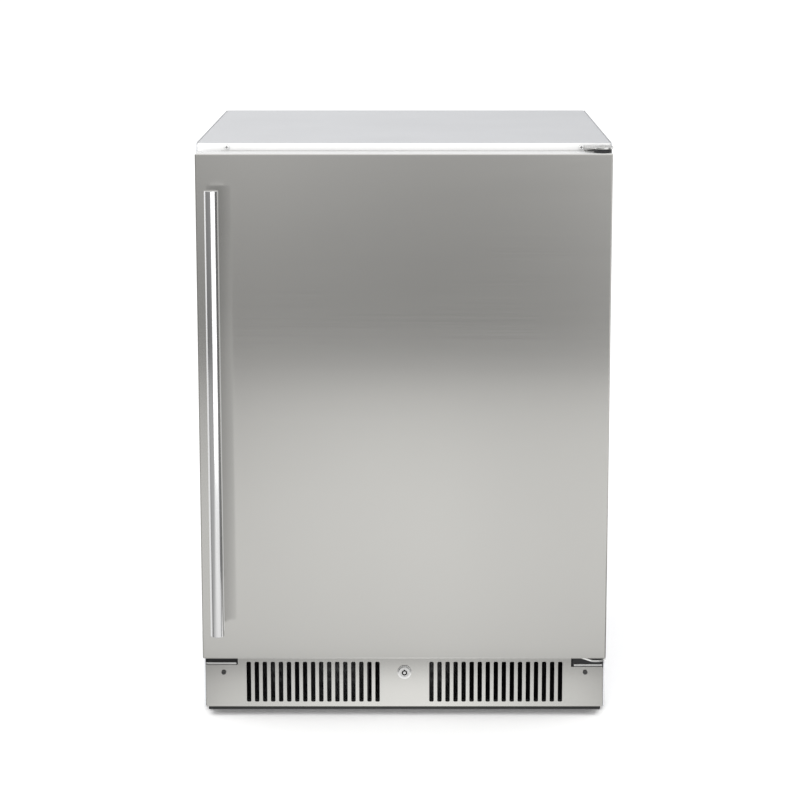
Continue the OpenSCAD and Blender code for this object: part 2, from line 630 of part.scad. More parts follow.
// A propeller with pitched blades that turns about the X axis
module fan_rotor(d, blades, hub_r, depth, shaft_r, shaft_l) {
    bar_x(-depth / 2, depth / 2, 0, 0, hub_r);
    bar_x(depth / 2 - eps, depth / 2 + shaft_l, 0, 0, shaft_r);
    for (i = [0 : blades - 1]) rotate([i * 360 / blades, 0, 0]) intersection() {
        translate([0, 0, hub_r - 2]) rotate([0, 0, 28])
            box([-0.9, -d * 0.24, 0], [0.9, d * 0.24, d / 2]);
        bar_x(-depth, depth, 0, 0, d / 2);
    }
}

module condenser_fan_blade() color("darkslategray")
    translate([fan_x, fan_y, fan_z]) fan_rotor(fan_d, 5, 18, 20, 3, 22);

drier_x = -100;
drier_y = bay_front + 14;
module filter_drier() color("peru") {
    translate([drier_x, drier_y, 96]) rotate_extrude() polygon([
        [0, 0], [2.5, 0], [3, 8], [9.5, 20], [9.5, 84], [3, 96], [3, 104], [0, 104]
    ]);
}

// Discharge from the compressor to the condenser, liquid line to the drier, and the capillary
module high_side_lines() color("peru") {
    top_z = coil_z0 + (coil_rows - 1) * coil_row_z;
    stub_z = compressor_z + 96;
    pipe([
        [compressor_x - 96.2, fan_y - 20, stub_z], [30, fan_y - 20, stub_z], [30, bay_front + 26, stub_z],
        [30, bay_front + 26, bay_h - 30], [-130, bay_front + 26, bay_h - 30],
        [-130, drier_y, bay_h - 30], [coil_x[1], drier_y, bay_h - 30],
        [coil_x[1], drier_y, top_z], [coil_x[1], coil_y0 - 0.2, top_z]
    ], 3.2, bend = 5.5, sides = 8);
    pipe([
        [coil_x[0], coil_y0 - 0.2, top_z], [coil_x[0], drier_y, top_z], [coil_x[0], drier_y, 212],
        [drier_x, drier_y, 212], [drier_x, drier_y, 200.2]
    ], 3, bend = 5.5, sides = 8);
    pipe([
        [drier_x, drier_y, 95.8], [drier_x, drier_y, 38], [60, drier_y, 38], [60, drier_y, 250],
        [60, 240, 250], [pipe_x, 240, 250], [pipe_x, pipe_y - 6.5, 250],
        [pipe_x, pipe_y - 6.5, coil_z + 12], [pipe_x, pipe_y - 20, coil_z + 12],
        [160.2, pipe_y - 20, coil_z + 12]
    ], 1.2, bend = 6, sides = 8);
}

module suction_line() color("peru") {
    pipe([
        [compressor_x + 30, fan_y + 84.2, compressor_z + 90], [compressor_x + 30, fan_y + 88, compressor_z + 90],
        [compressor_x + 30, fan_y + 88, 160], [pipe_x, pipe_y, 240],
        [pipe_x, pipe_y, coil_z + 12], [160.2, pipe_y, coil_z + 12]
    ], 4, bend = 3, sides = 10);
}

module drip_tray() color("dimgray") difference() {
    box([compressor_x - 66, fan_y - 70, compressor_z + 141], [compressor_x + 20, fan_y + 66, compressor_z + 176]);
    box([compressor_x - 64, fan_y - 68, compressor_z + 143], [compressor_x + 18, fan_y + 64, compressor_z + 177]);
}

// Drain from the evaporator trough down to the tray
module drain_tube() color("lightgray") difference() {
    union() {
        bar_z(compressor_z + 160, hump_z + 1.5, compressor_x - 10, pipe_y, 6);
        bar_z(hump_z, hump_z + 1.5, compressor_x - 10, pipe_y, 9);
    }
    bar_z(compressor_z + 159, hump_z + 3, compressor_x - 10, pipe_y, 4.4);
}

module air_baffle() color("black") difference() {
    union() {
        box([shroud_x - 2, front_y + 44, rail_z + 2.4], [shroud_x, bay_front + 0.5, floor_plate_z - 1.4]);
        box([shroud_x - 2, front_y + 9, rail_z + 9], [shroud_x, front_y + 44, kick_top - 20]);
    }
}

module power_inlet() color("black") difference() {
    union() {
        box([inlet_x, back_y - 30, 93], [inlet_x + 28, back_y - 1, 117]);
        box([inlet_x - 4, back_y - 7, 90], [inlet_x + 32, cover_y1 - 1.4, 120]);
    }
    difference() {
        box([inlet_x + 3, back_y - 20, 96], [inlet_x + 25, back_y, 114]);
        for (dx = [-7, 0, 7]) box([inlet_x + 13 + dx, back_y - 21, dx == 0 ? 106.5 : 101.5],
            [inlet_x + 15 + dx, back_y - 6, dx == 0 ? 111.5 : 106.5]);
    }
}

// ---- food compartment ----
module evaporator_cover() color("gainsboro") difference() {
    union() {
        difference() {
            box([-200, cover_y, hump_z + 6], [200, liner_back - 0.5, liner_top - 12]);
            box([-198, cover_y + 2, hump_z + 5], [198, liner_back, liner_top - 14]);
        }
        // Ring that guides the fan's air
        difference() {
            bar_y(cover_y + 1, cover_y + 18, 0, evap_fan_z, 54);
            bar_y(cover_y, cover_y + 19, 0, evap_fan_z, 51);
        }
    }
    // Fan grille: vertical slots inside a circle
    for (x = [-42 : 7 : 42]) {
        reach = sqrt(46 * 46 - x * x);
        box([x - 2, cover_y - eps, evap_fan_z - reach], [x + 2, cover_y + 3, evap_fan_z + reach]);
    }
    // Return air slots along the bottom, under the lowest shelf's level
    for (x = [-180 : 12 : 180]) box([x - 3, cover_y - eps, hump_z + 34], [x + 3, cover_y + 3, hump_z + 62]);
    // Outlet slots near the top
    for (x = [-150 : 20 : 150]) box([x - 7, cover_y - eps, liner_top - 34], [x + 7, cover_y + 3, liner_top - 28]);
}

// Two serpentines of four rows, joined at the top; both free ends are at the bottom right.
module evaporator_coil() color("silver") {
    rows = [for (i = [0 : 3]) coil_z + 12 + i * 30];
    columns = [liner_back - 32, liner_back - 12];
    for (y = columns, z = rows) bar_x(-160, 160, y, z, 4);
    for (y = columns, i = [0 : 2]) translate([0, y, rows[i] + 15])
        if (i % 2 == 0) translate([-160, 0, 0]) rotate([90, -90, 0]) half_bend(15, 4);
        else translate([160, 0, 0]) rotate([90, 90, 0]) half_bend(15, 4);
    translate([160, liner_back - 22, rows[3]]) rotate([0, 0, -90]) half_bend(10, 4);
    for (x = [-150 : 12.5 : 150]) difference() {
        box([x - 0.3, liner_back - 42, coil_z], [x + 0.3, liner_back - 2, coil_z + 114]);
        for (y = columns, z = rows) bar_x(x - 1, x + 1, y, z, 4.06);
    }
}

module evaporator_fan_motor() color("dimgray") difference() {
    union() {
        bar_y(cover_y + 30, liner_back, 0, evap_fan_z, 20);
        box([-48, liner_back - 3, evap_fan_z - 8], [48, liner_back, evap_fan_z + 8]);
    }
    bar_y(cover_y + 28, cover_y + 42, 0, evap_fan_z, 2.56);
}

module evaporator_fan_blade() color("darkslategray")
    translate([0, cover_y + 16, evap_fan_z]) rotate([0, 0, 90]) fan_rotor(92, 5, 12, 12, 2.5, 17);

// A wire shelf whose top is at z: two long frame wires each way and the cross wires on top
module wire_shelf(z) color("lightgray") {
    for (x = [-shelf_x + 3, shelf_x - 3]) bar_y(shelf_y0, shelf_y1, x, z, 3);
    for (y = [shelf_y0 + 3, (shelf_y0 + shelf_y1) / 2, shelf_y1 - 3])
        bar_x(-shelf_x + 3, shelf_x - 3, y, z, 3);
    for (i = [1 : shelf_wires]) {
        x = -shelf_x + 3 + i * (2 * shelf_x - 6) / (shelf_wires + 1);
        bar_y(shelf_y0 + 3, shelf_y1 - 3, x, z + 2.4, 1.6);
    }
}
module shelf_lower() wire_shelf(shelf_z0 + 0.2);
module shelf_middle() wire_shelf(shelf_z0 + shelf_step + 0.2);
module shelf_upper() wire_shelf(shelf_z0 + 2 * shelf_step + 0.2);

module control_housing() color("gainsboro") difference() {
    box([-110, control_y, liner_top - 38], [110, control_y + 72, liner_top]);
    box([-108, control_y + 2, liner_top - 36], [108, control_y + 70, liner_top + eps]);
    bar_y(control_y - eps, control_y + 4, knob_x, knob_z, 4.05);
    box([-90, control_y - eps, liner_top - 31], [-10, control_y + 3, liner_top - 9]);
}

module lamp_lens() color("ivory")
    box([-89.8, control_y - 1, liner_top - 30.8], [-10.2, control_y + 1.8, liner_top - 9.2]);

module thermostat_knob() color("dimgray") difference() {
    union() {
        bar_y(control_y - 14, control_y - 1, knob_x, knob_z, 14);
        bar_y(control_y - 1.5, control_y + 10, knob_x, knob_z, 4);
        translate([knob_x - 2, control_y - 15, knob_z]) cube([4, 10, 13.4]);
    }
    for (a = [0 : 20 : 340]) translate([knob_x, 0, knob_z]) rotate([0, a, 0])
        bar_y(control_y - 15, control_y, 15, 0, 1.6);
}

// ---- door ----
module door_skin() color("silver") difference() {
    box([-door_w / 2, door_face_y, door_bottom], [door_w / 2, door_back_y, door_top]);
    box([-door_w / 2 + sheet_t, door_face_y + sheet_t, door_bottom + sheet_t],
        [door_w / 2 - sheet_t, door_back_y + eps, door_top - sheet_t]);
    bar_z(door_bottom - eps, door_bottom + 3, hinge_x, hinge_y, 9.05);
    bar_z(door_top - 3, door_top + eps, hinge_x, hinge_y, 9.05);
    for (z = [handle_mid - post_spacing / 2, handle_mid + post_spacing / 2])
        bar_y(door_face_y - eps, door_face_y + 3, handle_x, z, 3.1);
    for (x = [-14, 14]) bar_z(door_bottom - eps, door_bottom + 3, x, door_face_y + 24, 1.6);
}

module door_foam() color("khaki") difference() {
    union() {
        box([-door_w / 2 + 1.2, door_face_y + 1.2, door_bottom + 1.2],
            [door_w / 2 - 1.2, door_back_y - 2.2, door_top - 1.2]);
        box([-dyke_x - 5.8, door_back_y - 3, liner_floor + 13.2], [dyke_x + 5.8, plateau_y - 2.2, liner_top - 13.2]);
    }
    bar_z(door_bottom, door_bottom + 26, hinge_x, hinge_y, 9.2);
    bar_z(door_top - 26, door_top, hinge_x, hinge_y, 9.2);
    for (z = [handle_mid - post_spacing / 2, handle_mid + post_spacing / 2])
        bar_y(door_face_y, door_face_y + 22, handle_x, z, 3.4);
}

// Side outline of a rib on the door liner, with sloped ends
function rib(t) = [
    [door_back_y - eps + t, 158 + t], [plateau_y, 158 + t], [dyke_y - t, 186 + t],
    [dyke_y - t, 770 - t], [plateau_y, 792 - t], [door_back_y - eps + t, 792 - t]
];

module door_liner() color("whitesmoke") {
    difference() {
        union() {
            box([-door_w / 2 + 1.2, door_back_y - 2, door_bottom + 1.2],
                [door_w / 2 - 1.2, door_back_y, door_top - 1.2]);
            box([-dyke_x - 8, door_back_y - 1, liner_floor + 11], [dyke_x + 8, plateau_y, liner_top - 11]);
            both_sides() along_x(dyke_x - dyke_w, dyke_x, rib(0));
        }
        // Hollow behind the plateau and the ribs
        box([-dyke_x - 6, door_back_y - 3, liner_floor + 13], [dyke_x + 6, plateau_y - 2, liner_top - 13]);
        both_sides() along_x(dyke_x - dyke_w + 2, dyke_x - 2, [
            [door_back_y - 3, 162], [plateau_y, 162], [dyke_y - 2, 190],
            [dyke_y - 2, 766], [plateau_y, 788], [door_back_y - 3, 788]
        ]);
    }
    // Pegs that the bins hook over
    both_sides() for (z = peg_z, y = [front_y + 28, front_y + 62])
        box([dyke_x - dyke_w - 5, y, z], [dyke_x - dyke_w + 1, y + 8, z + 16]);
}

module door_gasket() color("dimgray") {
    frame_ring(door_back_y, door_back_y + 3, gasket_out_x, gasket_low, gasket_high, gasket_w);
    frame_ring(door_back_y + 3, front_y - 3.6, gasket_out_x - 4, gasket_low + 4, gasket_high - 4, 12);
    frame_ring(front_y - 3.6, front_y - clear, gasket_out_x - 1, gasket_low + 1, gasket_high - 1, 17);
}

module handle_bar() color("silver") difference() {
    bar_z(handle_mid - handle_l / 2, handle_mid + handle_l / 2, handle_x, handle_y, handle_d / 2);
    for (z = [handle_mid - post_spacing / 2, handle_mid + post_spacing / 2])
        bar_y(handle_y + 3.9, handle_y + handle_d, handle_x, z, post_d / 2 + 0.05);
}

module handle_posts() color("silver")
    for (z = [handle_mid - post_spacing / 2, handle_mid + post_spacing / 2]) {
        bar_y(handle_y + 4, door_face_y, handle_x, z, post_d / 2);
        bar_y(door_face_y - eps, door_face_y + 20, handle_x, z, 3);
    }

// Flanged bushes in the door's top and bottom that run on the hinge pins
module door_bushes() color("black") difference() {
    union() {
        bar_z(door_top - 22, door_top + 1, hinge_x, hinge_y, 9);
        bar_z(door_top, door_top + 4.5, hinge_x, hinge_y, 12.5);
        bar_z(door_bottom - 1, door_bottom + 22, hinge_x, hinge_y, 9);
        bar_z(bottom_plate_z + 0.5, door_bottom, hinge_x, hinge_y, 11.5);
    }
    bar_z(door_top - 19, door_top + 5, hinge_x, hinge_y, pin_d / 2 + 0.05);
    bar_z(bottom_plate_z, door_bottom + 19, hinge_x, hinge_y, pin_d / 2 + 0.05);
}

// A lift-off bin that hooks over the pegs whose undersides are at z
module door_bin(z) color("white") {
    floor_z = z - 20;
    difference() {
        box([-bin_x, bin_y0, floor_z], [bin_x, bin_y1, floor_z + bin_h]);
        box([-bin_x + 2.4, bin_y0 + 2.4, floor_z + 2.4], [bin_x - 2.4, bin_y1 - 2.4, floor_z + bin_h + eps]);
        // Lower wall at the back of the bin, and windows in its front
        box([-bin_x + 20, bin_y0 - eps, floor_z + 34], [bin_x - 20, bin_y0 + 3, floor_z + bin_h + eps]);
        for (x = [-150 : 50 : 150])
            box([x - 16, bin_y1 - 3, floor_z + 48], [x + 16, bin_y1 + eps, floor_z + bin_h - 12]);
    }
    both_sides() for (y = [front_y + 28, front_y + 62]) difference() {
        box([bin_x - 1, y - 5, z - 4], [bin_x + 5.6, y + 13, z + 22]);
        box([bin_x, y - 0.4, z - 5], [bin_x + 7, y + 8.4, z + 16.2]);
    }
}
module door_bin_lower() door_bin(peg_z[0]);
module door_bin_middle() door_bin(peg_z[1]);
module door_bin_upper() door_bin(peg_z[2]);

// ---- feet ----
module levelling_foot() {
    bar_z(0, 4, 0, 0, 17);
    translate([0, 0, 4]) cylinder(r = 9, h = rail_z - 4.3, $fn = 6);
    bar_z(4, rail_z + 44, 0, 0, 5);
}
module foot_left() color("dimgray") translate([-foot_x, foot_y, 0]) levelling_foot();
module foot_right() color("dimgray") translate([foot_x, foot_y, 0]) levelling_foot();
module rear_glides() color("dimgray") both_sides() translate([foot_x, rear_foot_y, 0]) {
    bar_z(0, rail_z - 0.1, 0, 0, 17);
    bar_z(rail_z - 1, rail_z + 14, 0, 0, 5);
}

left_side_panel();
right_side_panel();
top_panel();
back_panel();
front_frame();
cabinet_foam();
inner_liner();
bay_panel();
base_frame();
kick_grille();
cabinet_screws();
left_hinge_blanks();
top_hinge_plate();
bottom_hinge_plate();
hinge_pins();
hinge_screws();
lock_housing();
lock_nut();
rear_cover();
compressor();
compressor_grommets();
compressor_bolts();
start_relay_box();
condenser_tubes();
condenser_fins();
condenser_fan_shroud();
condenser_fan_motor();
filter_drier();
high_side_lines();
suction_line();
drip_tray();
drain_tube();
air_baffle();
power_inlet();
evaporator_cover();
evaporator_coil();
evaporator_fan_motor();
shelf_lower();
shelf_middle();
shelf_upper();
control_housing();
lamp_lens();
door_skin();
door_foam();
door_liner();
door_gasket();
handle_bar();
handle_posts();
door_bushes();
lock_strike();
door_bin_lower();
door_bin_middle();
door_bin_upper();
lock_plug();
condenser_fan_blade();
evaporator_fan_blade();
thermostat_knob();
foot_left();
foot_right();
rear_glides();
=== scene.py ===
"""Looks of the undercounter refrigerator: materials, rounded edges, door gasket, studio and camera."""
import json
import math

import bmesh
import bpy
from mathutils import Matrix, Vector


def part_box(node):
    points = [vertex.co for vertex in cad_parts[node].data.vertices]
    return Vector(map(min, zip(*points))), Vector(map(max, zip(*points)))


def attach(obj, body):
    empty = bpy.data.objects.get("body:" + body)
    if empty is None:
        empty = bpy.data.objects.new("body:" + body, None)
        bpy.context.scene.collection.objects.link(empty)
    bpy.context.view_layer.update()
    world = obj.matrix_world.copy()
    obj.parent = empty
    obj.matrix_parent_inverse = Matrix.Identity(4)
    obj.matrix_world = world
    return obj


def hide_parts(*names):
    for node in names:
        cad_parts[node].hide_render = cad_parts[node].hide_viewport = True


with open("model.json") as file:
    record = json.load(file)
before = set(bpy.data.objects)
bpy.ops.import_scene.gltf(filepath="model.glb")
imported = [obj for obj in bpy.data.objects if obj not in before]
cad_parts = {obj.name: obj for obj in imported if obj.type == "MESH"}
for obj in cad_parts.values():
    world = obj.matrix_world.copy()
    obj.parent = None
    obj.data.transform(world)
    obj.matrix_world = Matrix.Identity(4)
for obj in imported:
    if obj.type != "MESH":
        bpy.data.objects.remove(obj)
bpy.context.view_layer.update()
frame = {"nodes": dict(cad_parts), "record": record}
nodes = frame["nodes"]
scene = bpy.context.scene
MM = 0.001


def add_object(name, data):
    """A new object in the scene."""
    obj = bpy.data.objects.new(name, data)
    scene.collection.objects.link(obj)
    return obj


# ---------------------------------------------------------------- materials
# How a texture is stretched: the small number is the axis along which its streaks run.
ALONG_X = (3, 1300, 1300)
ALONG_Y = (1300, 3, 1300)
ALONG_Z = (1300, 1300, 3)
EVEN = (1, 1, 1)


def new_material(name):
    """A material with a Principled shader; returns (material, tree, shader)."""
    material = bpy.data.materials.new(name)
    material.use_nodes = True
    tree = material.node_tree
    return material, tree, tree.nodes["Principled BSDF"]


def noise_of(tree, stretch, scale, detail=3.0, rough=0.5):
    """Noise in object space, stretched per axis. Returns the factor socket."""
    coord = tree.nodes.new("ShaderNodeTexCoord")
    mapping = tree.nodes.new("ShaderNodeMapping")
    mapping.inputs["Scale"].default_value = stretch
    noise = tree.nodes.new("ShaderNodeTexNoise")
    noise.inputs["Scale"].default_value = scale
    noise.inputs["Detail"].default_value = detail
    noise.inputs["Roughness"].default_value = rough
    tree.links.new(coord.outputs["Object"], mapping.inputs["Vector"])
    tree.links.new(mapping.outputs["Vector"], noise.inputs["Vector"])
    return noise.outputs["Fac"]


def ramp(tree, source, low, high, start=0.3, end=0.7):
    """Colour ramp from low to high over source."""
    node = tree.nodes.new("ShaderNodeValToRGB")
    node.color_ramp.elements[0].position = start
    node.color_ramp.elements[1].position = end
    node.color_ramp.elements[0].color = (*low, 1)
    node.color_ramp.elements[1].color = (*high, 1)
    tree.links.new(source, node.inputs["Fac"])
    return node.outputs["Color"]


def spread(tree, source, low, high, start=0.25, end=0.75):
    """Maps source's start-end to low-high."""
    node = tree.nodes.new("ShaderNodeMapRange")
    node.inputs["From Min"].default_value = start
    node.inputs["From Max"].default_value = end
    node.inputs["To Min"].default_value = low
    node.inputs["To Max"].default_value = high
    tree.links.new(source, node.inputs["Value"])
    return node.outputs["Result"]


def bump(tree, shader, source, strength, distance=0.3 * MM):
    """Relief from source."""
    node = tree.nodes.new("ShaderNodeBump")
    node.inputs["Strength"].default_value = strength
    node.inputs["Distance"].default_value = distance
    tree.links.new(source, node.inputs["Height"])
    tree.links.new(node.outputs["Normal"], shader.inputs["Normal"])


def tinted(colour, factor):
    """A colour made darker or lighter by factor."""
    return tuple(min(1.0, c * factor) for c in colour)


def multiplied(tree, first, second):
    """The product of two colour sockets."""
    mix = tree.nodes.new("ShaderNodeMix")
    mix.data_type = "RGBA"
    mix.blend_type = "MULTIPLY"
    mix.inputs["Factor"].default_value = 1.0
    tree.links.new(first, mix.inputs["A"])
    tree.links.new(second, mix.inputs["B"])
    return mix.outputs["Result"]


def cells_of(tree, scale):
    """Voronoi cells in object space. Returns the node."""
    coord = tree.nodes.new("ShaderNodeTexCoord")
    cells = tree.nodes.new("ShaderNodeTexVoronoi")
    cells.inputs["Scale"].default_value = scale
    tree.links.new(coord.outputs["Object"], cells.inputs["Vector"])
    return cells


def clouded(tree, clouds, colour, cloud):
    """The colour with soft variation of plus and minus cloud."""
    return ramp(tree, clouds, tinted(colour, 1 - cloud), tinted(colour, 1 + cloud))


def brushed(name, colour, rough, grain, depth=0.02, streak=0.03, cloud=0.03):
    """Brushed metal. grain is the stretch of its texture, streak and cloud are how much the tone varies."""
    material, tree, shader = new_material(name)
    shader.inputs["Metallic"].default_value = 1.0
    lines = noise_of(tree, grain, 1.0, detail=4.0, rough=0.65)
    clouds = noise_of(tree, EVEN, 5.0, detail=2.0)
    base = clouded(tree, clouds, colour, cloud)
    fine = ramp(tree, lines, (1 - streak,) * 3, (1, 1, 1))
    tree.links.new(multiplied(tree, base, fine), shader.inputs["Base Color"])
    tree.links.new(spread(tree, lines, rough * 0.85, rough * 1.15), shader.inputs["Roughness"])
    bump(tree, shader, lines, depth)
    return material


def painted(name, colour, rough, peel=0.04, peel_scale=700.0, cloud=0.02, coat=0.0):
    """Paint, enamel or powder coat with a fine orange peel."""
    material, tree, shader = new_material(name)
    shader.inputs["Coat Weight"].default_value = coat
    peel_noise = noise_of(tree, EVEN, peel_scale, detail=2.0)
    clouds = noise_of(tree, EVEN, 6.0, detail=3.0)
    tree.links.new(clouded(tree, clouds, colour, cloud), shader.inputs["Base Color"])
    tree.links.new(spread(tree, peel_noise, rough * 0.88, rough * 1.12), shader.inputs["Roughness"])
    bump(tree, shader, peel_noise, peel)
    return material


def moulded(name, colour, rough, grain=900.0, depth=0.06, cloud=0.03, soft=0.0):
    """Moulded plastic or rubber with a fine texture; soft lets some light through."""
    material, tree, shader = new_material(name)
    texture = noise_of(tree, EVEN, grain, detail=3.0)
    clouds = noise_of(tree, EVEN, 9.0, detail=3.0)
    tree.links.new(clouded(tree, clouds, colour, cloud), shader.inputs["Base Color"])
    tree.links.new(spread(tree, texture, rough * 0.85, rough * 1.15), shader.inputs["Roughness"])
    shader.inputs["Subsurface Weight"].default_value = soft
    shader.inputs["Subsurface Scale"].default_value = 4 * MM
    bump(tree, shader, texture, depth)
    return material


def galvanised(name, colour, rough):
    """Zinc-coated sheet: faint spangles of two tones."""
    material, tree, shader = new_material(name)
    shader.inputs["Metallic"].default_value = 1.0
    to_value = tree.nodes.new("ShaderNodeRGBToBW")
    tree.links.new(cells_of(tree, 70.0).outputs["Color"], to_value.inputs["Color"])
    spangle = to_value.outputs["Val"]
    tones = ramp(tree, spangle, tinted(colour, 0.93), tinted(colour, 1.05), 0.1, 0.9)
    tree.links.new(tones, shader.inputs["Base Color"])
    tree.links.new(spread(tree, spangle, rough * 0.85, rough * 1.15, 0.0, 1.0), shader.inputs["Roughness"])
    bump(tree, shader, noise_of(tree, EVEN, 300.0), 0.05)
    return material


def foam(name, colour):
    """Cut rigid foam: small closed cells."""
    material, tree, shader = new_material(name)
    shader.inputs["Roughness"].default_value = 0.9
    depth = cells_of(tree, 600.0).outputs["Distance"]
    tree.links.new(ramp(tree, depth, tinted(colour, 0.85), colour, 0.0, 0.6), shader.inputs["Base Color"])
    bump(tree, shader, depth, 0.4, 0.6 * MM)
    return material


def copper(name, colour, rough):
    """Drawn copper with brown oxide patches."""
    material, tree, shader = new_material(name)
    shader.inputs["Metallic"].default_value = 1.0
    patches = noise_of(tree, EVEN, 45.0, detail=5.0, rough=0.6)
    tree.links.new(ramp(tree, patches, tinted(colour, 0.55), colour, 0.35, 0.6), shader.inputs["Base Color"])
    tree.links.new(spread(tree, patches, rough * 1.5, rough), shader.inputs["Roughness"])
    bump(tree, shader, patches, 0.05)
    return material


STEEL = (0.612, 0.605, 0.580)

looks = {
    "door_steel": brushed("door_steel", STEEL, 0.165, ALONG_X, depth=0.004, streak=0.012, cloud=0.008),
    "face_steel": brushed("face_steel", tinted(STEEL, 1.06), 0.24, ALONG_X, depth=0.006, streak=0.015),
    "bar_steel": brushed("bar_steel", (0.80, 0.80, 0.80), 0.12, ALONG_Z, depth=0.004, streak=0.015),
    "bright_steel": brushed("bright_steel", (0.80, 0.80, 0.79), 0.18, ALONG_X, depth=0.006),
    "plate_steel": brushed("plate_steel", (0.80, 0.80, 0.79), 0.24, ALONG_Y, depth=0.006),
    "screw_steel": brushed("screw_steel", (0.12, 0.12, 0.12), 0.26, (400, 400, 400)),
    "wire_steel": brushed("wire_steel", (0.78, 0.78, 0.78), 0.18, ALONG_Y, depth=0.006),
    "top_coat": painted("top_coat", (0.595, 0.603, 0.622), 0.50),
    # A lighter copy of the top paint, used as painted light and painted highlight on faces that should read
    # brighter than the top.
    "painted_light_coat": painted("painted_light_coat", (0.78, 0.78, 0.775), 0.45),
    "side_coat": painted("side_coat", (0.585, 0.592, 0.61), 0.46),
    "zinc_sheet": galvanised("zinc_sheet", (0.62, 0.64, 0.65), 0.42),
    # Also laid on recessed bracket faces in the hinge notches as painted shade.
    "black_enamel_and_shade": painted("black_enamel_and_shade", (0.012, 0.012, 0.013), 0.38, coat=0.1),
    "motor_grey": painted("motor_grey", (0.20, 0.20, 0.205), 0.45, peel=0.1, peel_scale=300.0),
    "cell_foam": foam("cell_foam", (0.85, 0.78, 0.55)),
    "liner_white": moulded("liner_white", (0.66, 0.67, 0.67), 0.34, grain=260.0, depth=0.05),
    "plastic_white": moulded("plastic_white", (0.62, 0.62, 0.61), 0.42),
    "bin_clear": moulded("bin_clear", (0.50, 0.57, 0.62), 0.18, grain=120.0, depth=0.02, soft=0.2),
    "gasket_grey": moulded("gasket_grey", (0.11, 0.11, 0.115), 0.55, grain=500.0),
    "rubber_black": moulded("rubber_black", (0.018, 0.018, 0.018), 0.65, grain=500.0),
    # Also laid on the lock's keyway groove and ring rim as painted shade.
    "black_plastic_and_shade": moulded("black_plastic_and_shade", (0.016, 0.016, 0.017), 0.48),
    "plastic_grey": moulded("plastic_grey", (0.16, 0.165, 0.17), 0.45),
    "lens_frosted": moulded("lens_frosted", (0.88, 0.88, 0.84), 0.5, soft=0.5),
    "fin_aluminium": brushed("fin_aluminium", (0.78, 0.79, 0.80), 0.30, ALONG_Z, streak=0.08),
    "tube_copper": copper("tube_copper", (0.80, 0.42, 0.26), 0.25),
}

finish_of = {
    "door_steel": ["door_skin"],
    "face_steel": ["front_frame", "kick_grille"],
    "bar_steel": ["handle_bar", "handle_posts"],
    "bright_steel": ["lock_housing", "lock_nut", "lock_plug", "hinge_pins"],
    "plate_steel": ["top_hinge_plate", "bottom_hinge_plate", "left_hinge_blanks", "lock_strike"],
    "screw_steel": ["cabinet_screws", "hinge_screws", "compressor_bolts"],
    "wire_steel": ["shelf_lower", "shelf_middle", "shelf_upper"],
    "top_coat": ["top_panel"],
    "side_coat": ["left_side_panel", "right_side_panel"],
    "zinc_sheet": ["back_panel", "bay_panel", "rear_cover"],
    "black_enamel_and_shade": ["base_frame", "compressor", "air_baffle"],
    "motor_grey": ["condenser_fan_motor", "evaporator_fan_motor"],
    "cell_foam": ["cabinet_foam", "door_foam"],
    "liner_white": ["inner_liner", "door_liner"],
    "plastic_white": ["evaporator_cover", "control_housing", "drain_tube"],
    "bin_clear": ["door_bin_lower", "door_bin_middle", "door_bin_upper"],
    "gasket_grey": ["door_gasket"],
    "rubber_black": ["compressor_grommets"],
    "black_plastic_and_shade": ["door_bushes", "start_relay_box", "condenser_fan_shroud", "drip_tray", "power_inlet",
                      "condenser_fan_blade", "foot_left", "foot_right", "rear_glides"],
    "plastic_grey": ["evaporator_fan_blade", "thermostat_knob"],
    "lens_frosted": ["lamp_lens"],
    "fin_aluminium": ["condenser_fins", "evaporator_coil"],
    "tube_copper": ["condenser_tubes", "filter_drier", "high_side_lines", "suction_line"],
}
look_of = {name: looks[look] for look, names in finish_of.items() for name in names}
for name, material in look_of.items():
    for slot in nodes[name].material_slots:
        slot.material = material
body_of_node = {name: body for body, names in frame["record"]["behaviour"]["bodies"].items() for name in names}


# ---------------------------------------------------------------- rounded edges
def face_reach(face, edge):
    """How far a face extends from one of its edges."""
    a, b = (v.co for v in edge.verts)
    line = (b - a).normalized()
    return max(((v.co - a) - line * (v.co - a).dot(line)).length for v in face.verts)


def rounded(name, sizes, segments, sharp, only):
    """A bmesh of a CAD node with its sharp edges rounded by each of sizes in turn, facing outward."""
    mesh = bmesh.new()
    mesh.from_mesh(nodes[name].data)
    for layer in list(mesh.loops.layers.uv):
        mesh.loops.layers.uv.remove(layer)
    bmesh.ops.remove_doubles(mesh, verts=mesh.verts, dist=0.01 * MM)
    if sizes:
        bmesh.ops.dissolve_limit(mesh, angle_limit=math.radians(0.6), verts=mesh.verts, edges=mesh.edges)
    for size in sizes:
        picked = []
        for edge in mesh.edges:
            if len(edge.link_faces) != 2 or edge.calc_face_angle(0.0) < math.radians(sharp):
                continue
            if edge.calc_length() < size * 0.4 or (only and not only(edge)):
                continue
            if min(face_reach(face, edge) for face in edge.link_faces) > size * 2.1:
                picked.append(edge)
        if picked:
            bmesh.ops.bevel(mesh, geom=picked, offset=size, offset_type="OFFSET", segments=segments,
                            profile=0.5, affect="EDGES", clamp_overlap=False, miter_outer="SHARP")
    bmesh.ops.recalc_face_normals(mesh, faces=mesh.faces)
    if mesh.calc_volume(signed=True) < 0:
        bmesh.ops.reverse_faces(mesh, faces=mesh.faces)
    return mesh


def surface_of(mesh):
    """The area of a bmesh, added up over the triangles that it is drawn with."""
    corners = ([loop.vert.co for loop in triangle] for triangle in mesh.calc_loop_triangles())
    return sum((q - p).cross(r - p).length / 2 for p, q, r in corners)


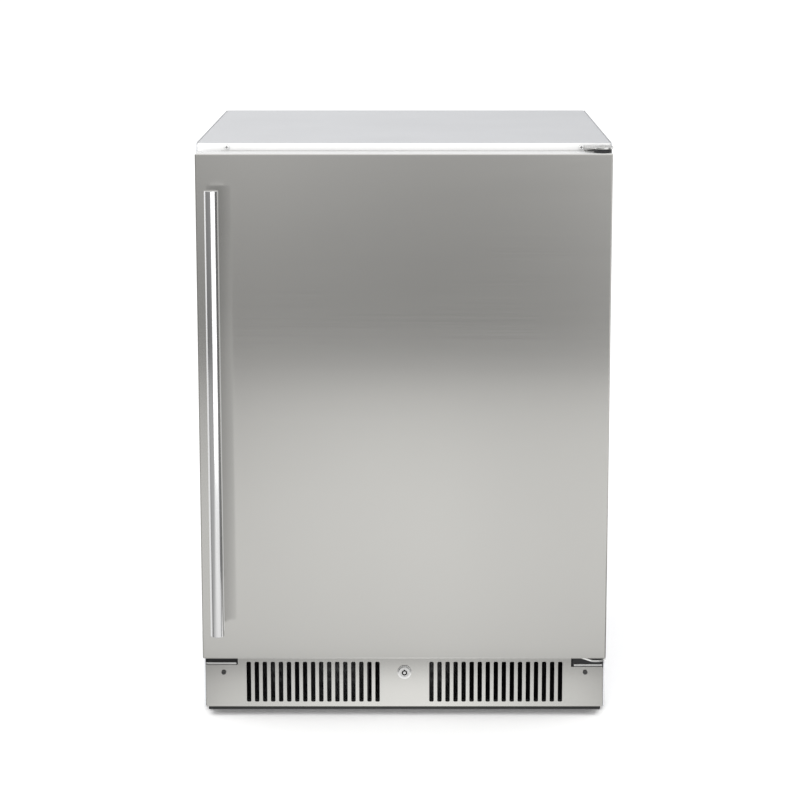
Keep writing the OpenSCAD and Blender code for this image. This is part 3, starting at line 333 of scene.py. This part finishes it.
def is_sound(mesh, source):
    """True when rounding has not grown the surface or the box of the source mesh, and kept its volume."""
    before = bmesh.new()
    before.from_mesh(source)
    area, volume = surface_of(before), abs(before.calc_volume())
    spans = [[pick(v.co[axis] for v in m.verts) for axis in range(3) for pick in (min, max)]
             for m in (before, mesh)]
    before.free()
    drift = max(abs(p - q) for p, q in zip(*spans))
    return surface_of(mesh) < area * 1.01 and drift < 0.25 * MM and 0.9 < mesh.calc_volume() / volume < 1.01


def soften(name, radius, segments=2, small=0.0, sharp=32.0, only=None):
    """A copy of a CAD node with rounded edges, which stands for the node.

    radius rounds each sharp edge whose faces are wide enough for it; small rounds the narrower ones.
    Both shrink until the rounded mesh is sound. only(edge) can limit the rounding. Returns the copy.
    """
    for share in (1.0, 0.6, 0.35, 0.2, 0.0):
        sizes = [size * share for size in (radius, small) if size * share]
        mesh = rounded(name, sizes, segments, sharp, only)
        if is_sound(mesh, nodes[name].data):
            break
    for face in mesh.faces:
        face.smooth = True
        face.material_index = 0
    data = bpy.data.meshes.new(name + "_finished")
    mesh.to_mesh(data)
    mesh.free()
    data.set_sharp_from_angle(angle=math.radians(38))
    data.materials.clear()
    data.materials.append(look_of[name])
    piece = add_object(name + "_finished", data)
    weighted = piece.modifiers.new("weighted", "WEIGHTED_NORMAL")
    weighted.keep_sharp = True
    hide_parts(name)
    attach(piece, body_of_node[name])
    return piece


door_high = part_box("door_skin")[1]
door_back = door_high.y


def off_door_back(edge):
    """True for an edge that doesn't lie in the door's back plane, where the skin meets the liner."""
    return min(v.co.y for v in edge.verts) < door_back - 1 * MM


door = soften("door_skin", 1.8 * MM, segments=3, only=off_door_back)
lip = soften("top_panel", 1.4 * MM, segments=3)
for name in ("left_side_panel", "right_side_panel"):
    soften(name, 0.7 * MM)
soften("kick_grille", 0.8 * MM, small=0.25 * MM)
soften("front_frame", 0.5 * MM)
blanks = soften("left_hinge_blanks", 0.5 * MM)
soften("lock_strike", 0.5 * MM)
soften("top_hinge_plate", 0.6 * MM, segments=3)
bracket = soften("bottom_hinge_plate", 0.6 * MM, segments=3)
soften("handle_bar", 1.2 * MM, segments=3)
for name in ("handle_posts", "hinge_pins", "lock_nut"):
    soften(name, 0.6 * MM)
ring = soften("lock_housing", 0.6 * MM, segments=3)
plug = soften("lock_plug", 0.3 * MM)
screws = soften("cabinet_screws", 1.0 * MM, segments=4)
soften("hinge_screws", 1.0 * MM, segments=4)
soften("inner_liner", 5 * MM, segments=4, small=0.7 * MM)
soften("door_liner", 1.6 * MM, segments=3)
for name in ("door_bin_lower", "door_bin_middle", "door_bin_upper"):
    soften(name, 3 * MM, segments=3, small=0.7 * MM)
for name in ("evaporator_cover", "control_housing"):
    soften(name, 2 * MM, segments=3, small=0.4 * MM)
soften("thermostat_knob", 1 * MM)
soften("lamp_lens", 0.8 * MM)
for name in ("foot_left", "foot_right", "rear_glides"):
    soften(name, 0.8 * MM)
for name in ("start_relay_box", "power_inlet", "drip_tray", "condenser_fan_shroud"):
    soften(name, 1 * MM, small=0.3 * MM)
soften("compressor", 2 * MM, segments=3)


def second_look(piece, look, test):
    """Gives the faces that pass test(face) another look."""
    piece.data.materials.append(looks[look])
    index = len(piece.data.materials) - 1
    for face in piece.data.polygons:
        if test(face):
            face.material_index = index


cabinet_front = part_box("kick_grille")[0].y
door_top = door_high.z
# The front lip of the top panel and the top face of the door get a lighter copy of the top paint: painted light on
# the lip, which the lamps light more than the flat top, and a painted highlight along the door's top edge.
second_look(lip, "painted_light_coat", lambda f: f.center.y < cabinet_front + 1.6 * MM and f.normal.z < 0.8)
second_look(door, "painted_light_coat", lambda f: f.normal.z > 0.9 and f.center.z > door_top - 0.5 * MM)
# The upper part of the left hinge blank plate gets the same lighter paint: painted light, so it reads as bright as
# the lip beside it.
second_look(blanks, "painted_light_coat", lambda f: f.center.z > door_top - 30 * MM)
# The fronts of the two screw heads in the lip get the same lighter paint, painted light as on the lip; their
# recesses keep the dark screw steel.
in_lip = [f.center.y for f in screws.data.polygons if f.center.z > door_top and f.center.y < cabinet_front]
lip_heads_y = min(in_lip, default=0.0)
second_look(screws, "painted_light_coat", lambda f: f.center.z > door_top and f.center.y < cabinet_front
            and f.normal.y < -0.5 and f.center.y < lip_heads_y + 1.0 * MM)
# The lock's keyway groove and the rim of its ring are painted black: painted shade in the groove and along the
# ring's side.
lock_z = sum(corner.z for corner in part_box("lock_housing")) / 2


def off_lock_axis(face):
    """How far a face's middle is from the axis of the lock."""
    return math.hypot(face.center.x, face.center.z - lock_z)


second_look(plug, "black_plastic_and_shade", lambda f: off_lock_axis(f) < 4.3 * MM
            and cabinet_front - 3.1 * MM < f.center.y < cabinet_front + 8 * MM)
second_look(ring, "black_plastic_and_shade", lambda f: off_lock_axis(f) > 8.8 * MM
            and f.normal.y > -0.5 and f.center.y < cabinet_front)
# The recessed front faces of the bottom hinge bracket and of the left blank plate are painted black: painted shade
# in the dark notches under the door.
second_look(bracket, "black_enamel_and_shade", lambda f: f.normal.y < -0.7 and f.center.y > cabinet_front + 0.9 * MM)
second_look(blanks, "black_enamel_and_shade", lambda f: f.normal.y < -0.7 and f.center.y > cabinet_front + 0.9 * MM)


# ---------------------------------------------------------------- door gasket
def gasket():
    """Bellows seal: a magnet tube on two folds, swept round the door with mitred corners."""
    low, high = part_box("door_gasket")
    depth = high.y - low.y
    # Inset from the outer edge and rise from the door, both in millimetres
    half_profile = [(1.0, 0.0), (1.0, 1.6), (2.2, 2.6), (5.6, 2.9), (4.7, 4.0), (5.8, 4.9), (3.3, 5.9), (2.4, 7.0),
                    (2.6, 8.9), (3.7, 9.7)]
    width, height = 20.0, half_profile[-1][1]
    profile = half_profile + [(width - u, v) for u, v in reversed(half_profile)]
    rows = []
    for corner_x, corner_z in ((-1, -1), (1, -1), (1, 1), (-1, 1)):
        row = []
        for inset, rise in profile:
            x = corner_x * (high.x - inset * MM)
            z = (low.z + inset * MM) if corner_z < 0 else (high.z - inset * MM)
            row.append((x, low.y + rise / height * depth, z))
        rows.append(row)
    count = len(profile)
    faces = []
    for i in range(4):
        here, there = i * count, (i + 1) % 4 * count
        for k in range(count):
            after = (k + 1) % count
            faces.append((here + k, there + k, there + after, here + after))
    data = bpy.data.meshes.new("door_seal")
    data.from_pydata([p for row in rows for p in row], [], faces)
    mesh = bmesh.new()
    mesh.from_mesh(data)
    bmesh.ops.recalc_face_normals(mesh, faces=mesh.faces)
    # Every edge that runs along a side of the door, apart from the nearly flat ones
    long_edges = [e for e in mesh.edges if e.calc_length() > 0.3 and e.calc_face_angle(0.0) > math.radians(20)]
    bmesh.ops.bevel(mesh, geom=long_edges, offset=0.35 * MM, segments=2, profile=0.5, affect="EDGES",
                    clamp_overlap=True)
    for face in mesh.faces:
        face.smooth = True
    mesh.to_mesh(data)
    mesh.free()
    data.set_sharp_from_angle(angle=math.radians(50))
    data.materials.append(looks["gasket_grey"])
    piece = add_object("door_seal", data)
    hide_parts("door_gasket")
    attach(piece, "door")


gasket()


# ---------------------------------------------------------------- studio
def flat(x0, x1, y0, y1, z):
    """Corners of a level card."""
    return [(x0, y0, z), (x1, y0, z), (x0, y1, z), (x1, y1, z)]


def upright(points, z0, z1):
    """Corners of a standing card over a row of points on the floor."""
    return [(x, y, z) for x, y in points for z in (z0, z1)]


def card(name, corners, strength=1.0, along=None, stops=(), across=None, cross_stops=()):
    """A glowing card of one or more flat leaves that only shows in reflections.

    corners holds the two ends of each fold in turn.

    along is the axis (0 x, 1 y, 2 z) on which stops, pairs of metres and brightness, vary it;
    across and cross_stops multiply it along a second axis.
    """
    mesh = bpy.data.meshes.new(name)
    mesh.from_pydata(corners, [], [(i, i + 1, i + 3, i + 2) for i in range(0, len(corners) - 2, 2)])
    obj = add_object(name, mesh)
    material = bpy.data.materials.new(name)
    material.use_nodes = True
    tree = material.node_tree
    tree.nodes.clear()
    out = tree.nodes.new("ShaderNodeOutputMaterial")
    glow = tree.nodes.new("ShaderNodeEmission")
    glow.inputs["Strength"].default_value = strength
    tree.links.new(glow.outputs["Emission"], out.inputs["Surface"])
    level = None
    for axis, points in ((along, stops), (across, cross_stops)):
        if axis is None:
            continue
        coord = tree.nodes.new("ShaderNodeTexCoord")
        split = tree.nodes.new("ShaderNodeSeparateXYZ")
        tree.links.new(coord.outputs["Object"], split.inputs["Vector"])
        start, end = points[0][0], points[-1][0]
        place = spread(tree, split.outputs[axis], 0.0, 1.0, start, end)
        node = tree.nodes.new("ShaderNodeValToRGB")
        elements = node.color_ramp.elements
        while len(elements) < len(points):
            elements.new(0.5)
        for element, (metres, value) in zip(elements, points):
            element.position = (metres - start) / (end - start)
            element.color = (value, value, value, 1)
        tree.links.new(place, node.inputs["Fac"])
        shade = node.outputs["Color"]
        level = shade if level is None else multiplied(tree, level, shade)
    if level is not None:
        tree.links.new(level, glow.inputs["Color"])
    mesh.materials.append(material)
    obj.visible_camera = False
    obj.visible_shadow = False
    obj.visible_diffuse = False
    return obj


# White floor with a faint glow; the steel sees the floor cards instead
FLOOR_HALF = 30
floor_mesh = bpy.data.meshes.new("studio_floor")
floor_mesh.from_pydata(flat(-FLOOR_HALF, FLOOR_HALF, -FLOOR_HALF, FLOOR_HALF, 0), [], [(0, 1, 3, 2)])
studio_floor = add_object("studio_floor", floor_mesh)
floor_material, _, floor_shader = new_material("studio_floor")
floor_shader.inputs["Base Color"].default_value = (0.97, 0.97, 0.97, 1)
floor_shader.inputs["Roughness"].default_value = 1.0
floor_shader.inputs["Specular IOR Level"].default_value = 0.0
floor_shader.inputs["Emission Color"].default_value = (1, 1, 1, 1)
floor_shader.inputs["Emission Strength"].default_value = 0.12
floor_mesh.materials.append(floor_material)
studio_floor.visible_glossy = False

world = bpy.data.worlds.new("studio_world")
world.use_nodes = True
scene.world = world
world.node_tree.nodes["Background"].inputs["Color"].default_value = (1, 1, 1, 1)
world.node_tree.nodes["Background"].inputs["Strength"].default_value = 1.04


def area(name, place, target, size, power, glossy=False):
    """A soft box that points at target."""
    light = bpy.data.lights.new(name, "AREA")
    light.shape = "RECTANGLE"
    light.size, light.size_y = size
    light.energy = power
    obj = add_object(name, light)
    obj.location = place
    obj.rotation_mode = "QUATERNION"
    obj.rotation_quaternion = (Vector(target) - Vector(place)).to_track_quat("-Z", "Y")
    obj.visible_camera = False
    obj.visible_glossy = glossy
    return obj


area("soft_front", (-0.5, -3.2, 1.1), (0, 0, 0.7), (2.4, 1.2), 60)

# Strip that only lights the handle, for the long highlight along the bar
strip = area("handle_strip", (0.25, -1.4, 0.47), (-0.27, -0.32, 0.60), (1.4, 0.72), 3.9, glossy=True)
handle_only = bpy.data.collections.new("handle_only")
scene.collection.children.link(handle_only)
handle_only.objects.link(bpy.data.objects["handle_bar_finished"])
strip.light_linking.receiver_collection = handle_only

# The dark room in front, brighter towards its top and its right side
front_curve = [(-2.9, 0.2), (-2.75, -1.2), (-2.1, -2.2), (-1.2, -2.7), (0.72, -2.7)]
card("dark_front", upright(front_curve, 0.045, 2.3), along=2,
     stops=[(0.045, 0.24), (0.16, 0.29), (0.26, 0.35), (0.36, 0.39), (0.48, 0.44), (0.66, 0.53), (1.1, 0.68),
            (2.3, 1.0)],
     across=0, cross_stops=[(-2.9, 0.62), (-1.0, 0.72), (-0.62, 1.0), (-0.41, 1.22), (-0.13, 1.06), (0.05, 1.0),
                            (0.3, 1.02), (0.5, 1.16), (0.72, 1.4)])

# What the steel sees of the floor: far in front, just in front of the kick panel, and behind
GLOW_X, GLOW_Z = 3.2, 0.4 * MM
card("floor_glow", flat(-GLOW_X, GLOW_X, -3.6, -0.5, GLOW_Z), along=1,
     stops=[(-3.6, 1.05), (-2.9, 0.98), (-2.4, 0.93), (-1.95, 0.97), (-1.5, 0.99), (-1.0, 0.95), (-0.62, 0.88),
            (-0.55, 0.86), (-0.515, 0.3), (-0.5, 0.1)],
     across=0, cross_stops=[(-3.2, 0.42), (-0.8, 0.46), (-0.55, 0.72), (-0.31, 0.92), (-0.1, 0.98), (0.05, 1.0),
                            (0.3, 0.93), (0.5, 0.95), (0.75, 1.04), (3.2, 1.04)])
card("toe_glow", flat(-GLOW_X, GLOW_X, -0.5, -0.225, GLOW_Z), along=0,
     stops=[(-3.2, 0.4), (-0.34, 0.55), (-0.27, 0.80), (-0.18, 0.93), (-0.05, 1.12), (0.05, 1.12), (0.18, 0.93),
            (0.27, 0.80), (0.34, 0.55), (3.2, 0.4)],
     across=1, cross_stops=[(-0.5, 0.10), (-0.465, 0.34), (-0.42, 0.80), (-0.38, 1.0), (-0.225, 1.03)])
card("floor_rear", flat(-GLOW_X, GLOW_X, -0.22, 4.0, GLOW_Z), 0.92)

# Dark screens at the right, for the dark side of the handle bar
card("right_screen", upright([(2.2, -1.35), (2.2, -0.1)], 0.0, 1.6), 0.16)
right_corners = [(0.5, -0.75), (2.2, -1.3), (0.5, -0.25), (2.2, -0.1)]
card("right_floor", [(x, y, 2 * GLOW_Z) for x, y in right_corners], 0.22)

# Dim strip behind the handle bar, which the door mirrors instead of the bar's bright back
bar_low, bar_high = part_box("handle_bar")
shade_y = bar_high.y + 1.5 * MM
shade_left, shade_right = bar_low.x - 2 * MM, bar_high.x + 12 * MM
shade_low, shade_high = bar_low.z + 4 * MM, bar_high.z
card("bar_shade", upright([(shade_left, shade_y), (shade_right, shade_y)], shade_low, shade_high), along=2,
     stops=[(shade_low, 0.78), (0.47, 0.64), (0.62, 0.49), (0.74, 0.47), (shade_high, 0.50)],
     across=0, cross_stops=[(shade_left, 0.82), (bar_high.x - 6 * MM, 0.70), (bar_high.x, 0.76),
                            (shade_right, 0.98)])

# A flag close to the floor in front of the kick panel gives the short contact shadow.
flag = card("toe_flag", flat(-0.288, 0.288, cabinet_front - 22 * MM, cabinet_front - 1 * MM, 6 * MM), 0.0)
flag.visible_glossy = False
flag.visible_diffuse = True
flag.visible_shadow = True

# A darker wall behind, to the right
card("rear_right", upright([(-0.8, 3.0), (2.8, 3.0)], 0.4, 3.2), along=0,
     stops=[(-0.8, 1.0), (0.2, 0.7), (1.0, 0.35), (2.8, 0.35)])

# ---------------------------------------------------------------- camera
camera = bpy.data.cameras.new("camera")
camera.lens = 106.9
camera.sensor_width = 36.0
camera.shift_x = -0.02
camera.shift_y = -0.08
camera_object = add_object("camera", camera)
camera_object.location = (0.0172, -3.6325, 1.179)
DOWN_TILT = 10.17  # degrees
camera_object.rotation_euler = (math.radians(90 - DOWN_TILT), 0, 0)
scene.camera = camera_object
scene.view_settings.view_transform = "Standard"
